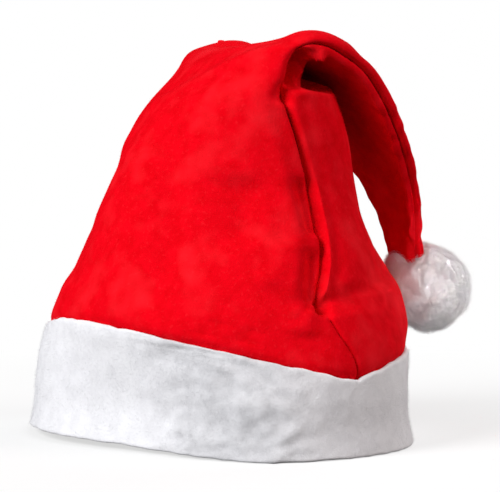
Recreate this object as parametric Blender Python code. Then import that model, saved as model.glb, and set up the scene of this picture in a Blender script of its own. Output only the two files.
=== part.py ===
"""Felt santa hat that stands on its rim, its pointed end folded over backwards with a pompom on the tip.

Metres, +Z up, -Y is the front. The hat is one tube of felt, lofted along a table of sections: two side seams,
the front panel between them (the outside of the bend) and the back panel (the inside of the bend).
"""

import math
from collections import namedtuple

import bmesh
import bpy
import numpy as np
from mathutils import Matrix, Vector, noise

MM = 0.001

# Sizes, in millimetres
CROWN_FELT = 1.8
BAND_FELT = 2.2
PIECE_GAP = 0.3
POMPOM_HOLLOW_GAP = 0.6
BAND_HEIGHT_AT_SEAM = 34.5
BAND_RISE_FRONT = 24.0
BAND_RISE_BACK = 12.0
FRONT_RISE_POWER = 1.35
BACK_RISE_POWER = 0.7
RIM_ARCH = 3.5
LEVEL_FOLDS_BELOW = 40.0
SEAM_MARGIN = 3.0
POMPOM_RADIUS = 21.5
POMPOM_LUMP = 1.3
POMPOM_CENTRE = (0.0, 114.5, 67.5)

# Mesh density
PANEL_COLUMNS = 22
CROWN_ROWS = 36
BAND_ROWS = 5
SEAM_CROWDING = 0.6
MASTER_STEP = 1.0

# One row for each section, from the rim to the tip. along: distance up the hat. The front, seam and back columns
# say where the tube's outside passes in the plane of the bend, and half_width how far out its seams lie.
# A square of 2 is an ellipse, and more is boxier. twist turns the section about the upright axis, in degrees.
Section = namedtuple(
    "Section",
    "along front_y front_z seam_y seam_z back_y back_z half_width front_square back_square twist",
)
SECTIONS = [
    Section(0, -84, 0, 0, 0, 80.5, 0, 107.5, 2.0, 2.0, 13),
    Section(12, -82, 12, 0.5, 12, 78, 12, 104, 2.0, 2.0, 13),
    Section(28, -80.5, 28, 1.5, 28, 78, 28, 102.5, 2.0, 2.0, 13),
    Section(44, -79, 44, 3, 44, 80.5, 44, 100, 2.0, 2.0, 12),
    Section(57, -78, 57, 5, 57, 84, 57, 95, 2.0, 2.0, 7),
    Section(69, -74.5, 69, 6, 69, 83, 69, 89, 2.0, 2.0, 4),
    Section(89, -66, 89, 5.5, 89, 73, 89, 78.5, 2.0, 2.0, 10),
    Section(107, -59, 107, 5, 107, 63.5, 107, 70, 2.0, 2.0, 13),
    Section(122, -53, 122, 7.5, 122, 62.5, 122, 63.5, 2.0, 2.0, 11),
    Section(145, -41.5, 145, 10.5, 145, 60.5, 145, 58, 2.0, 2.0, 4),
    Section(161, -28, 162.5, 10, 162, 55.5, 160, 55.5, 2.1, 2.0, 0),
    Section(172, -14.5, 174, 11, 171.5, 51.5, 166.5, 55, 2.2, 2.0, 0),
    Section(180, -2, 184, 12.5, 179, 42.5, 169.5, 54.5, 2.4, 2.0, 0),
    Section(188, 13, 189.5, 16, 184, 34, 173, 54, 2.8, 2.0, 0),
    Section(196, 25, 192, 22, 186.5, 30.5, 176.5, 53.5, 3.2, 2.0, 0),
    Section(206, 36, 191, 31, 186, 33.5, 179, 52.5, 3.5, 2.5, 0),
    Section(218, 48, 186, 41, 182, 40.5, 176.5, 50.5, 3.8, 3.0, 0),
    Section(231, 60.5, 179.5, 53, 175.5, 49.5, 171, 47.5, 4.0, 3.0, 0),
    Section(247, 73, 167, 64, 164.5, 60, 161.5, 43.5, 4.0, 3.0, 0),
    Section(266, 83.5, 149.5, 76, 147.5, 72.5, 146, 37.5, 4.0, 3.0, 0),
    Section(285, 94, 130.5, 86.5, 129, 83.5, 128, 30, 4.0, 3.0, 0),
    Section(305, 102, 110.5, 95.5, 110, 92.5, 109, 21.5, 3.5, 3.0, 0),
    Section(322, 105, 94, 99.5, 93, 96.5, 92, 16, 3.0, 3.0, 0),
    Section(335, 107, 82.5, 102, 80.5, 99.5, 78.5, 12.5, 3.0, 3.0, 0),
    Section(345, 110.5, 76, 106.5, 72.5, 104, 69.5, 11, 3.0, 3.0, 0),
]

# One row for each fold. It runs along the hat between two distances, at a distance round the girth from a seam,
# positive on the back panel and negative on the front panel. height is outwards; width and length are spreads.
Fold = namedtuple("Fold", "name side along_from along_to girth_from girth_to height width ends")
FOLDS = [
    Fold("near rim corner", "near", 0, 16, -44, -44, 7.0, 30.0, 40),
    Fold("front of the rim pulled flat", "near", 0, 16, -120, -120, -10.0, 46.0, 44),
    Fold("near seam crease", "near", 68, 168, -0.6, -0.6, -4.0, 2.4, 6),
    Fold("near pleat ridge", "near", 74, 158, 4.5, 5, 0.8, 2.8, 8),
    Fold("near front roll", "near", 78, 160, -15, -14, 1.2, 5.0, 10),
    Fold("lower pinch", "near", 66, 70, -1, 1, -5.0, 3.6, 4),
    Fold("upper pinch", "near", 161, 166, -2, 0, -4.0, 5.0, 4),
    Fold("cave beside the seam", "near", 170, 188, 5.5, 7, -13.0, 5.5, 6),
    Fold("cave inside the bend", "near", 170, 186, 16, 18, -7.0, 6.5, 6),
    Fold("cave under the bend", "near", 170, 184, 27, 30, -9.0, 11.0, 6),
    Fold("hook in the cave", "near", 182, 202, 14, 4, 4.5, 2.2, 5),
    Fold("fold right of lower pinch", "near", 71, 78, 12, 40, -2.5, 18.0, 9),
    Fold("arch sag", "far", 194, 210, -48, -48, -8.5, 28.0, 13),
    Fold("near end of the arch", "near", 196, 216, -12, -12, 2.5, 10.0, 12),
    Fold("far end of the arch", "far", 182, 200, -16, -16, 2.0, 18.0, 14),
    Fold("tail ridge near", "near", 204, 318, 3.6, 3.2, 1.8, 1.5, 6),
    Fold("far seam crease", "far", 74, 158, 0, 0, -3.0, 4.0, 8),
    Fold("far pleat ridge", "far", 80, 150, 9, 9, 1.8, 5.0, 8),
    Fold("far pinch", "far", 84, 88, -1, 1, -3.0, 5.0, 5),
    Fold("front dent left", "near", 108, 128, -150, -130, -2.5, 22.0, 14),
    Fold("front dent middle", "near", 98, 120, -48, -40, -2.2, 14.0, 10),
    Fold("front dent low left", "near", 82, 96, -160, -155, -2.8, 22.0, 12),
    Fold("front dent top left", "near", 146, 166, -100, -85, -1.6, 16.0, 10),
    Fold("back bulge over the band", "near", 56, 70, 66, 66, 1.4, 22.0, 10),
    Fold("back dent", "far", 100, 130, 70, 70, -3.0, 22.0, 12),
]


def along_table(column, along):
    """A column of SECTIONS read at the distances along, on a smooth curve through its rows."""
    x = np.array([row.along for row in SECTIONS], float)
    y = np.array([getattr(row, column) for row in SECTIONS], float)
    slope = np.gradient(y, x)
    i = np.clip(np.searchsorted(x, along) - 1, 0, len(x) - 2)
    h = x[i + 1] - x[i]
    t = (along - x[i]) / h
    return (
        y[i] * (1 + 2 * t) * (1 - t) ** 2
        + slope[i] * h * t * (1 - t) ** 2
        + y[i + 1] * t**2 * (3 - 2 * t)
        + slope[i + 1] * h * t**2 * (t - 1)
    )


def panel_turns(columns):
    """Angles from one seam to the other, crowded towards both seams."""
    t = np.linspace(0, 1, columns + 1)
    return math.pi * (t - SEAM_CROWDING * np.sin(2 * math.pi * t) / (2 * math.pi))


def base_surface(along, turn, inset=0.0):
    """Points of the plain tube, inset by a wall thickness, one row for each distance and a column for each angle."""
    read = {name: along_table(name, along)[:, None] for name in Section._fields[1:]}
    seam = np.stack([read["seam_y"], read["seam_z"]], -1)
    front = np.stack([read["front_y"], read["front_z"]], -1) - seam
    back = np.stack([read["back_y"], read["back_z"]], -1) - seam
    front_depth = np.linalg.norm(front, axis=-1, keepdims=True)
    back_depth = np.linalg.norm(back, axis=-1, keepdims=True)
    flatness = 1 - np.clip((front_depth + back_depth)[..., 0] / 2 / read["half_width"], 0, 1)
    half_width = read["half_width"] - (inset + SEAM_MARGIN * flatness * (inset > 0))
    front = front * (1 - inset / front_depth)
    back = back * (1 - inset / back_depth)
    c, s = np.cos(turn)[None, :], np.sin(turn)[None, :]
    on_back = s >= 0
    square = np.where(on_back, read["back_square"], read["front_square"])
    across = np.sign(c) * np.abs(c) ** (2 / square) * half_width
    out = np.abs(s) ** (2 / square)
    reach = np.where(on_back[..., None], back, front) * out[..., None]
    x, y = across, reach[..., 0]
    angle = np.radians(read["twist"])
    return np.stack(
        [
            x * np.cos(angle) - y * np.sin(angle),
            read["seam_y"] + x * np.sin(angle) + y * np.cos(angle),
            seam[..., 1] + reach[..., 1],
        ],
        -1,
    )


def girths(points):
    """Distance round each section from the near seam, where the first column stands."""
    steps = np.linalg.norm(np.diff(points, axis=1), axis=-1)
    return np.concatenate([np.zeros((len(points), 1)), np.cumsum(steps, axis=1)], axis=1)


def outward_normals(points):
    """Unit normals of a tube of points whose last column repeats the first."""
    ring = points[:, :-1]
    round_step = np.roll(ring, -1, axis=1) - np.roll(ring, 1, axis=1)
    along_step = np.gradient(ring, axis=0)
    normal = np.cross(round_step, along_step)
    normal /= np.linalg.norm(normal, axis=-1, keepdims=True)
    return np.concatenate([normal, normal[:, :1]], axis=1)


def window(along, start, end, ease):
    """1 between start and end, easing to 0 over the distance ease on both sides."""
    rise = np.clip((along - start + ease) / ease, 0, 1)
    fall = np.clip((end + ease - along) / ease, 0, 1)
    return (rise * rise * (3 - 2 * rise)) * (fall * fall * (3 - 2 * fall))


def fold_heights(along, girth):
    """How far the folds move the felt outwards, for distances along the hat and round its girth."""
    whole = girth[:, -1:]
    near = np.where(girth > whole / 2, girth - whole, girth)
    far = whole / 2 - girth
    height = np.zeros_like(girth)
    for fold in FOLDS:
        share = np.clip((along - fold.along_from) / max(fold.along_to - fold.along_from, 1e-6), 0, 1)
        centre = fold.girth_from + (fold.girth_to - fold.girth_from) * share
        place = near if fold.side == "near" else far
        profile = np.exp(-(((place - centre[:, None]) / fold.width) ** 2))
        height += fold.height * profile * window(along, fold.along_from, fold.along_to, fold.ends)[:, None]
    return height


def felt_surfaces(turn, wall):
    """The outside and the inside of the whole tube, a row for each MASTER_STEP of distance, in millimetres."""
    along = np.arange(0, SECTIONS[-1].along + MASTER_STEP / 2, MASTER_STEP)
    outside = base_surface(along, turn)
    inside = base_surface(along, turn, wall)
    push = outward_normals(outside) * fold_heights(along, girths(outside))[..., None]
    push[..., 2] *= np.clip(along / LEVEL_FOLDS_BELOW, 0, 1)[:, None]
    return along, outside + push, inside + push


def at_distances(along, surface, wanted):
    """Points of a surface at the wanted distance in each row and column."""
    step = np.clip(np.searchsorted(along, wanted) - 1, 0, len(along) - 2)
    share = ((wanted - along[step]) / MASTER_STEP)[..., None]
    column = np.broadcast_to(np.arange(wanted.shape[1]), wanted.shape)
    return surface[step, column] * (1 - share) + surface[step + 1, column] * share


def band_height(turn):
    """Height of the line where the band meets the crown: lowest at the seams, in millimetres."""
    s = np.sin(turn)
    back = BAND_RISE_BACK * np.clip(s, 0, 1) ** BACK_RISE_POWER
    front = BAND_RISE_FRONT * np.clip(-s, 0, 1) ** FRONT_RISE_POWER
    return BAND_HEIGHT_AT_SEAM + back + front


def rim_height(turn):
    """Height of the rim over the surface it stands on: the middle of the front panel arches up a little."""
    return RIM_ARCH * np.clip(-np.sin(turn + math.radians(20)), 0, 1) ** 2


def wall_mesh(name, outside, inside, closed_ring):
    """A felt wall between two grids of points, closed along every free edge."""
    rows, columns = outside.shape[:2]
    made = bmesh.new()
    out = [[made.verts.new(p) for p in row] for row in outside * MM]
    inn = [[made.verts.new(p) for p in row] for row in inside * MM]
    last = columns if closed_ring else columns - 1
    for i in range(rows - 1):
        for j in range(last):
            k = (j + 1) % columns
            made.faces.new((out[i][j], out[i][k], out[i + 1][k], out[i + 1][j]))
            made.faces.new((inn[i][j], inn[i + 1][j], inn[i + 1][k], inn[i][k]))
    for j in range(last):
        k = (j + 1) % columns
        made.faces.new((out[0][k], out[0][j], inn[0][j], inn[0][k]))
        made.faces.new((out[-1][j], out[-1][k], inn[-1][k], inn[-1][j]))
    if not closed_ring:
        for i in range(rows - 1):
            made.faces.new((out[i][0], out[i + 1][0], inn[i + 1][0], inn[i][0]))
            made.faces.new((out[i + 1][-1], out[i][-1], inn[i][-1], inn[i + 1][-1]))
    bmesh.ops.recalc_face_normals(made, faces=made.faces)
    mesh = bpy.data.meshes.new(name)
    made.to_mesh(mesh)
    made.free()
    mesh.shade_smooth()
    return mesh


def crown_panel(turn):
    """Outside and inside points of one panel, whose side edges stop half a gap short of the seams."""
    along, outside, inside = felt_surfaces(full_turns(), CROWN_FELT)
    columns = np.searchsorted(full_turns(), turn - 1e-9)
    start = band_height(turn) + PIECE_GAP
    share = np.linspace(0, 1, CROWN_ROWS + 1)[:, None]
    wanted = start + (SECTIONS[-1].along - start) * share
    grids = [at_distances(along, surface[:, columns], wanted) for surface in (outside, inside)]
    for grid in grids:
        for edge, neighbour in ((0, 1), (-1, -2)):
            step = grid[:, neighbour] - grid[:, edge]
            grid[:, edge] += step / np.linalg.norm(step, axis=-1, keepdims=True) * PIECE_GAP / 2
    return grids


def full_turns():
    """Angles all the way round, from the near seam by way of the back to the near seam again."""
    half = panel_turns(PANEL_COLUMNS)
    return np.concatenate([half, math.pi + half[1:]])


def felt(name, colour, roughness):
    """A plain felt material."""
    material = bpy.data.materials.new(name)
    material.use_nodes = True
    shader = material.node_tree.nodes["Principled BSDF"]
    shader.inputs["Base Color"].default_value = (*colour, 1)
    shader.inputs["Roughness"].default_value = roughness
    shader.inputs["Metallic"].default_value = 0
    return material


def add_piece(name, mesh, material, collection):
    piece = bpy.data.objects.new(name, mesh)
    mesh.materials.append(material)
    collection.objects.link(piece)
    return piece


def make_crown(collection):
    red = felt("red felt", (0.72, 0.002, 0.009), 0.9)
    half = panel_turns(PANEL_COLUMNS)
    for name, turn in (("crown_back_panel", half), ("crown_front_panel", math.pi + half)):
        add_piece(name, wall_mesh(name, *crown_panel(turn), False), red, collection)


def make_band(collection):
    turn = full_turns()
    along, outside, inside = felt_surfaces(turn, BAND_FELT)
    share = np.linspace(0, 1, BAND_ROWS + 1)[:, None]
    low = rim_height(turn)
    wanted = low + share * (band_height(turn) - low)
    grids = [at_distances(along, surface, wanted)[:, :-1] for surface in (outside, inside)]
    white = felt("white felt", (0.80, 0.79, 0.82), 0.95)
    add_piece("brim_band", wall_mesh("brim_band", *grids, True), white, collection)


def tail_tip_cutter(collection):
    """The outer form of the tail's last stretch, a little larger all round, which hollows the pompom."""
    turn = full_turns()
    along, outside, _ = felt_surfaces(turn, CROWN_FELT)
    first = int((SECTIONS[-1].along - 40) / MASTER_STEP)
    ring = (outside + outward_normals(outside) * POMPOM_HOLLOW_GAP)[first::4, :-1]
    tip_step = ring[-1].mean(axis=0) - ring[-2].mean(axis=0)
    tip_step /= np.linalg.norm(tip_step)
    ring = np.concatenate([ring, ring[-1:] + tip_step * POMPOM_HOLLOW_GAP])
    made = bmesh.new()
    verts = [[made.verts.new(p) for p in row] for row in ring * MM]
    columns = ring.shape[1]
    for i in range(len(verts) - 1):
        for j in range(columns):
            k = (j + 1) % columns
            made.faces.new((verts[i][j], verts[i][k], verts[i + 1][k], verts[i + 1][j]))
    made.faces.new(list(reversed(verts[0])))
    made.faces.new(verts[-1])
    bmesh.ops.recalc_face_normals(made, faces=made.faces)
    mesh = bpy.data.meshes.new("tail tip")
    made.to_mesh(mesh)
    made.free()
    cutter = bpy.data.objects.new("tail_tip_cutter", mesh)
    cutter.hide_render = True
    cutter.display_type = "WIRE"
    collection.objects.link(cutter)
    return cutter


def make_pompom(collection, cutter):
    made = bmesh.new()
    bmesh.ops.create_icosphere(made, subdivisions=4, radius=POMPOM_RADIUS * MM)
    for vert in made.verts:
        direction = vert.co.normalized()
        lump = noise.noise(direction * 2.3 + Vector((3.1, 7.7, 1.9)))
        lump += 0.6 * noise.noise(direction * 4.7 + Vector((9.2, 0.4, 5.5)))
        vert.co += direction * lump * POMPOM_LUMP * MM
    bmesh.ops.translate(made, verts=made.verts, vec=Vector(POMPOM_CENTRE) * MM)
    mesh = bpy.data.meshes.new("pompom")
    made.to_mesh(mesh)
    made.free()
    mesh.shade_smooth()
    pompom = add_piece("pompom", mesh, felt("white fibre", (0.66, 0.64, 0.67), 1.0), collection)
    hollow = pompom.modifiers.new("tail hollow", "BOOLEAN")
    hollow.operation = "DIFFERENCE"
    hollow.object = cutter


def centre_on_box(collection):
    """Moves every piece so that the origin is the middle of the hat's box, at the height of the rim."""
    bpy.context.view_layer.update()
    corners = [o.matrix_world @ Vector(c) for o in collection.objects for c in o.bound_box]
    low = [min(c[i] for c in corners) for i in range(3)]
    high = [max(c[i] for c in corners) for i in range(3)]
    shift = Vector((-(low[0] + high[0]) / 2, -(low[1] + high[1]) / 2, -low[2]))
    for piece in bpy.data.objects:
        piece.data.transform(Matrix.Translation(shift))


def main():
    for old in list(bpy.data.objects):
        bpy.data.objects.remove(old, do_unlink=True)
    hat = bpy.data.collections.new("santa hat")
    cutters = bpy.data.collections.new("cutters")
    for collection in (hat, cutters):
        bpy.context.scene.collection.children.link(collection)
    make_crown(hat)
    make_band(hat)
    make_pompom(hat, tail_tip_cutter(cutters))
    centre_on_box(hat)


if __name__ == "__main__":
    main()
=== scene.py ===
"""Felt santa hat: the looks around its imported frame.

The file is laid out as an add-on: settings that a user would change, one operator for each group of pieces,
and a panel that lists them. Lengths in the tables are millimetres. Settings and meshes are metres, with +Z
up and -Y as the front.
"""

import math
from collections import namedtuple

import bmesh
import bpy
import numpy as np
from bpy.props import FloatProperty, FloatVectorProperty, IntProperty, PointerProperty
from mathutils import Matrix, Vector, noise


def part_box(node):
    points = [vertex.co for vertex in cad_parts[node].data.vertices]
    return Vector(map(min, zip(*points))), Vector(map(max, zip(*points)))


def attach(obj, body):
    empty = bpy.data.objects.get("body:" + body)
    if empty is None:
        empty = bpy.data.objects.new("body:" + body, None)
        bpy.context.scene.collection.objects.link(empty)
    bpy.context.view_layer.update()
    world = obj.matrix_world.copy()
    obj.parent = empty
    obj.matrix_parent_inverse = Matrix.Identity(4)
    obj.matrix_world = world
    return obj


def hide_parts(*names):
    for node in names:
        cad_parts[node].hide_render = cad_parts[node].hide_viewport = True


bl_info = {
    "name": "Felt Santa Hat",
    "version": (1, 0, 0),
    "blender": (4, 5, 0),
    "location": "3D View > Sidebar > Santa Hat",
    "description": "Builds a felt santa hat with its brushed band, sewn seams and yarn pompom",
    "category": "Object",
}

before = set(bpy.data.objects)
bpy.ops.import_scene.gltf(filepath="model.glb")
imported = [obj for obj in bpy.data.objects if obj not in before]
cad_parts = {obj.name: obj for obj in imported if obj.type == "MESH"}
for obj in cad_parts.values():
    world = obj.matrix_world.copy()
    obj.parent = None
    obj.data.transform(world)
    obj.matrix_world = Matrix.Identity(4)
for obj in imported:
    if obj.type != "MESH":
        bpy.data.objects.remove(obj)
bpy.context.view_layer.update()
BODY = "root"
MM = 0.001

# One row for each section, from the rim to the tip. along: distance up the hat. The front, seam and back
# columns say where the tube's outside passes in the plane of the bend, and half_width how far out its seams
# lie. A square of 2 is an ellipse, and more is boxier. twist turns the section about the upright axis, in
# degrees.
Section = namedtuple(
    "Section",
    "along front_y front_z seam_y seam_z back_y back_z half_width front_square back_square twist",
)
SECTIONS = [
    Section(0, -84, 0, 0, 0, 80.5, 0, 107.5, 2.0, 2.0, 13),
    Section(12, -82, 12, 0.5, 12, 78, 12, 104, 2.0, 2.0, 13),
    Section(28, -80.5, 28, 1.5, 28, 78, 28, 102.5, 2.0, 2.0, 13),
    Section(44, -79, 44, 3, 44, 80.5, 44, 100, 2.0, 2.0, 12),
    Section(57, -78, 57, 5, 57, 84, 57, 95, 2.0, 2.0, 7),
    Section(69, -74.5, 69, 6, 69, 83, 69, 89, 2.0, 2.0, 4),
    Section(89, -66, 89, 5.5, 89, 73, 89, 78.5, 2.0, 2.0, 10),
    Section(107, -59, 107, 5, 107, 63.5, 107, 70, 2.0, 2.0, 13),
    Section(122, -53, 122, 7.5, 122, 62.5, 122, 63.5, 2.0, 2.0, 11),
    Section(145, -41.5, 145, 10.5, 145, 60.5, 145, 58, 2.0, 2.0, 4),
    Section(161, -28, 162.5, 10, 162, 55.5, 160, 55.5, 2.1, 2.0, 0),
    Section(172, -14.5, 174, 11, 171.5, 51.5, 166.5, 55, 2.2, 2.0, 0),
    Section(180, -2, 184, 12.5, 179, 42.5, 169.5, 54.5, 2.4, 2.0, 0),
    Section(188, 13, 189.5, 16, 184, 34, 173, 54, 2.8, 2.0, 0),
    Section(196, 25, 192, 22, 186.5, 30.5, 176.5, 53.5, 3.2, 2.0, 0),
    Section(206, 36, 191, 31, 186, 33.5, 179, 52.5, 3.5, 2.5, 0),
    Section(218, 48, 186, 41, 182, 40.5, 176.5, 50.5, 3.8, 3.0, 0),
    Section(231, 60.5, 179.5, 53, 175.5, 49.5, 171, 47.5, 4.0, 3.0, 0),
    Section(247, 73, 167, 64, 164.5, 60, 161.5, 43.5, 4.0, 3.0, 0),
    Section(266, 83.5, 149.5, 76, 147.5, 72.5, 146, 37.5, 4.0, 3.0, 0),
    Section(285, 94, 130.5, 86.5, 129, 83.5, 128, 30, 4.0, 3.0, 0),
    Section(305, 102, 110.5, 95.5, 110, 92.5, 109, 21.5, 3.5, 3.0, 0),
    Section(322, 105, 94, 99.5, 93, 96.5, 92, 16, 3.0, 3.0, 0),
    Section(335, 107, 82.5, 102, 80.5, 99.5, 78.5, 12.5, 3.0, 3.0, 0),
    Section(345, 110.5, 76, 106.5, 72.5, 104, 69.5, 11, 3.0, 3.0, 0),
]
HAT_LENGTH = SECTIONS[-1].along

# One row for each fold. It runs along the hat between two distances, at a distance round the girth from a
# seam, positive on the back panel and negative on the front panel. height is outwards, width how far it
# spreads round the hat, and ends how far it eases out at both ends.
Fold = namedtuple("Fold", "name side along_from along_to girth_from girth_to height width ends")
FOLDS = [
    Fold("near rim corner", "near", 0, 16, -44, -44, 7.0, 30.0, 40),
    Fold("front of the rim pulled flat", "near", 0, 16, -120, -120, -10.0, 46.0, 44),
    Fold("near seam crease", "near", 68, 168, -0.6, -0.6, -3.4, 1.9, 6),
    Fold("near pleat ridge", "near", 74, 158, 7, 8, -1.0, 3.6, 8),
    Fold("near front roll", "near", 78, 160, -15, -14, 1.2, 5.0, 10),
    Fold("lower pinch", "near", 66, 70, -1, 1, -5.0, 3.6, 4),
    Fold("upper pinch", "near", 161, 166, -2, 0, -4.0, 5.0, 4),
    Fold("cave beside the seam", "near", 170, 188, 5.5, 7, -13.0, 5.5, 6),
    Fold("cave inside the bend", "near", 170, 186, 16, 18, -7.0, 6.5, 6),
    Fold("cave under the bend", "near", 170, 184, 27, 30, -9.0, 11.0, 6),
    Fold("hook in the cave", "near", 182, 202, 14, 4, 4.5, 2.2, 5),
    Fold("fold right of lower pinch", "near", 71, 78, 12, 40, -2.5, 18.0, 9),
    Fold("arch sag", "far", 194, 210, -48, -48, -8.5, 28.0, 13),
    Fold("near end of the arch", "near", 196, 216, -12, -12, 2.5, 10.0, 12),
    Fold("far end of the arch", "far", 182, 200, -16, -16, 2.0, 18.0, 14),
    Fold("tail ridge near", "near", 204, 318, 3.6, 3.2, 1.8, 1.5, 6),
    Fold("far seam crease", "far", 74, 158, 0, 0, -3.0, 4.0, 8),
    Fold("far pleat ridge", "far", 80, 150, 9, 9, 1.8, 5.0, 8),
    Fold("far pinch", "far", 84, 88, -1, 1, -3.0, 5.0, 5),
    Fold("front dent left", "near", 108, 128, -150, -130, -2.4, 24.0, 16),
    Fold("front dent middle", "near", 98, 120, -48, -40, -2.2, 14.0, 10),
    Fold("front dent low left", "near", 82, 96, -160, -155, -2.8, 22.0, 12),
    Fold("front dent top left", "near", 146, 166, -100, -85, -1.6, 16.0, 10),
    Fold("back bulge over the band", "near", 56, 70, 66, 66, 1.4, 22.0, 10),
    Fold("back dent", "far", 100, 130, 70, 70, -3.0, 22.0, 12),
]

# Finer creases and dents of the crown's felt, which only the look of the hat needs
WRINKLES = [
    Fold("shoulder edge", "near", 158, 184, -88, -8, 1.3, 9.0, 6),
    Fold("dent over the shoulder", "near", 166, 186, -74, -18, -0.9, 16.0, 6),
    Fold("upper dent by the crease", "near", 103, 120, -5.0, -6.4, -4.6, 4.6, 7),
    Fold("step under the upper dent", "near", 98, 100, -7, -6, 0.9, 4.0, 2.5),
    Fold("lower dent by the crease", "near", 73, 89, -5.0, -7.0, -4.4, 4.6, 5),
    Fold("thin ridge by the crease", "near", 76, 118, 2.0, 2.0, 1.5, 1.3, 7),
    Fold("long front dent", "near", 74, 140, -80, -66, -2.8, 9.0, 16),
    Fold("long front ridge", "near", 70, 130, -108, -90, 1.4, 10.0, 14),
    Fold("front dent near the seam", "near", 103, 118, -38, -34, -2.2, 8.0, 9),
    Fold("front bulge near the seam", "near", 80, 92, -26, -22, 1.8, 8.0, 7),
    Fold("bulge under the pinch", "near", 58, 64, -17, -12, 1.6, 6.5, 5),
    Fold("crease from the pinch", "near", 62, 70, -16, -5, -0.9, 2.6, 3),
    Fold("pucker over the join, left", "near", 56, 60, -62, -54, -1.1, 3.0, 3),
    Fold("pucker over the join, right", "near", 53, 57, -46, -41, -1.1, 2.6, 3),
    Fold("dent beside the far seam", "far", 96, 118, -12, -10, -1.4, 4.0, 6),
    Fold("long back dent", "near", 84, 132, 58, 66, -1.3, 12.0, 14),
    Fold("back bulge", "far", 66, 84, 60, 72, 1.2, 16.0, 10),
    Fold("pinch in the bend of the back", "near", 170, 178, 52, 60, -1.5, 7.0, 6),
]

# Mesh density of the visual surfaces
PANEL_COLUMNS = 106
CROWN_ROWS = 262
BAND_ROWS = 40
SEAM_CROWDING = 0.86
ROW_CROWDING = 0.45
BAND_CROWDING = 0.85
MASTER_STEP = 1.0

# The band rises from the seams slowly in front and quickly behind
FRONT_RISE_POWER = 1.35
BACK_RISE_POWER = 0.7
RIM_ARCH_TURN = 20  # degrees that the rim's arch lies off the middle of the front

# Small shapes of the felt: lengths in millimetres, and shares
SEAM_MARGIN = 3.0
LEVEL_FOLDS_BELOW = 40.0
PANEL_EDGE_GAP = 0.08
CROWN_EDGE_ROUND = 0.6
BAND_EDGE_ROUND = 0.7
CROWN_TUCKED_BEHIND_BAND = 2.0
JOIN_DIP = 1.3
JOIN_DIP_WIDTH = 2.2
JOIN_PUCKER = 0.9
JOIN_PUCKER_HEIGHT = 7.0
JOIN_PUCKER_SIZE = 9.0
JOIN_PUCKER_SQUASH = 0.35
SEAM_GROOVE = 0.7
SEAM_GROOVE_WIDTH = 1.3
TAIL_GROOVE_FROM = 204.0
TAIL_GROOVE_EASE = 12.0
TAIL_RIPPLE = 1.8
TAIL_RIPPLE_SIZE = 6.0
TAIL_RIPPLE_WIDTH = 7.0
TAIL_RIPPLE_FROM = 262.0
TAIL_RIPPLE_EASE = 20.0
CROWN_WAVE_SIZE = 34.0
CROWN_SMALL_WAVE_SIZE = 11.0
CROWN_SMALL_WAVE = 0.4
BAND_PROUD = 0.6
BAND_WAVE = 0.5
BAND_WAVE_SIZE = 26.0
BAND_EDGE_WAVE = 0.7
BAND_EDGE_WAVE_SIZE = 11.0
TUFT_SIZE = 6.6
TUFT_SLANT = (0.4, 0.9, 0.9)
TUFT_STRETCH = 0.6
SMALL_TUFTS = 0.75
SMALL_TUFT_SHRINK = 2.4
TUFTED_AT = -67.0
TUFTED_WIDTH = 36.0
TUFTS_ELSEWHERE = 0.10
EDGE_ROUND_LEFT = 0.2

# Painted shade: where the band's pile is brushed up, a darker colour is mixed in, most in the darker clouds
PAINTED_PILE_SHADE_MOST = 0.75
PAINTED_PILE_SHADE_LEAST = 0.5
PAINTED_PILE_SHADE_DARKNESS = 0.62

# Seams and stitches, in millimetres, apart from the shares
SEAM_ALLOWANCE = 6.0
SEAM_ALLOWANCE_THICK = 3.0
NARROWEST_ALLOWANCE = 0.12
ALLOWANCE_NARROWS_OVER = 60.0
ALLOWANCE_NOTCH = 0.96
ALLOWANCE_IN_WALL = 0.6
TIP_WITHOUT_ALLOWANCE = 8
STITCH_FROM_SEAM = 2.6
STITCH_IN_ALLOWANCE = 0.6
JOIN_STITCHES_BELOW = 3.0

# Strands, in metres: half their thickness at the root, how much they lean, the size of the drifts in which
# they lean together, and how far they are waved
Pile = namedtuple("Pile", "thickness lean drift wave")
CROWN_PILE = Pile(0.00003, 5.0, 0.004, 0.0004)
BAND_PILE = Pile(0.00004, 6.0, 0.009, 0.0005)
POMPOM_PILE_UNDER = Pile(0.00004, 0.9, 0.008, 0.0003)
POMPOM_PILE_OVER = Pile(0.00004, 0.9, 0.008, 0.0004)
UNDER_LENGTH = 0.8
BAND_PILE_SEED = 7
POMPOM_PILE_SEED = 20
SKIN_ROWS_LEFT_OUT = 3
SKIN_COLUMNS_LEFT_OUT = 2
BAND_PILE_OVER_RIM = 0.5
BAND_PILE_UNDER_JOIN = 0.3

# Pompom, as directions and shares of a unit ball, and the swelling over the crown's end in millimetres
POMPOM_SUBDIVISIONS = 6
POMPOM_WAVE = 0.8
POMPOM_WAVE_SCALE = 2.6
POMPOM_WAVE_START = Vector((3.1, 7.7, 1.9))
TUFT_SCALE = 4.3
TUFT_START = Vector((9.2, 0.4, 5.5))
TUFT_RISE = 0.25
TUFT_DROP = 0.7
OVER_TAIL = 3.5
OVER_TAIL_NEAR = 0.3
OVER_TAIL_EASE = 0.5
TAIL_SPREAD = Vector((0.57, -0.50, 0.62))  # from the pompom's middle to the near edge of the crown's end

# Materials: noise scales in parts of a metre
FLECK_SCALE = 620.0
FELT_FIBRE_SCALE = 1500.0
THREAD_FIBRE_SCALE = 2600.0
FIBRE_TURNS = ((0.3, 0.9, 0.2), (1.4, 0.2, 1.1), (0.7, 1.9, 2.3))
FIBRE_DRAWN_OUT = (1.0, 1.0, 0.16)
CLOTH_SPECULAR = 0.02

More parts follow.
